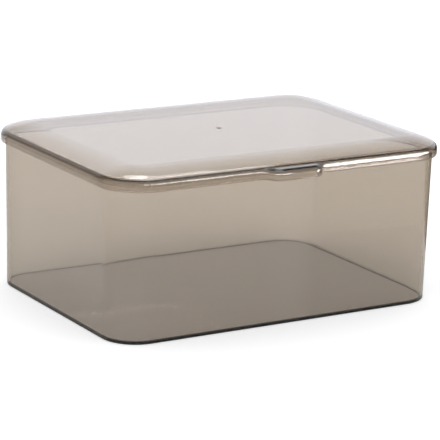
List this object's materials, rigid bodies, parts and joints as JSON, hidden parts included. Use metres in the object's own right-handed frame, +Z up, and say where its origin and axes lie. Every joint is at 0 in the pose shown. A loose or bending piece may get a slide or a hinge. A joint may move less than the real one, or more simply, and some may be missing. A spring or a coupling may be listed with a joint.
{
  "type": "clear storage container with lift-off lid",
  "caption": "Smoke-tinted clear plastic storage box with rounded corners, leaning walls and a pillowed lift-off lid with a front finger tab.",
  "frame": {"origin": "middle of the underside of the tub, on the surface that it stands on", "axes": "+Z up, the way the lid lifts; +X along the long side; -Y towards the front, where the finger tab is"},
  "size_m": [0.3124, 0.2384, 0.138],
  "materials": {
    "smoke_plastic_tub": "polished transparent moulding with a warm smoke tint",
    "smoke_plastic_lid": "polished transparent moulding with a warm smoke tint"
  },
  "bodies": {
    "tub": {"tub": "smoke_plastic_tub"},
    "lid": {"lid": "smoke_plastic_lid"}
  },
  "joints": [
    {"name": "lid_lift", "type": "slide", "parent": "tub", "child": "lid", "axis": [0, 0, 1], "range_m": [0, 0.15]}
  ]
}
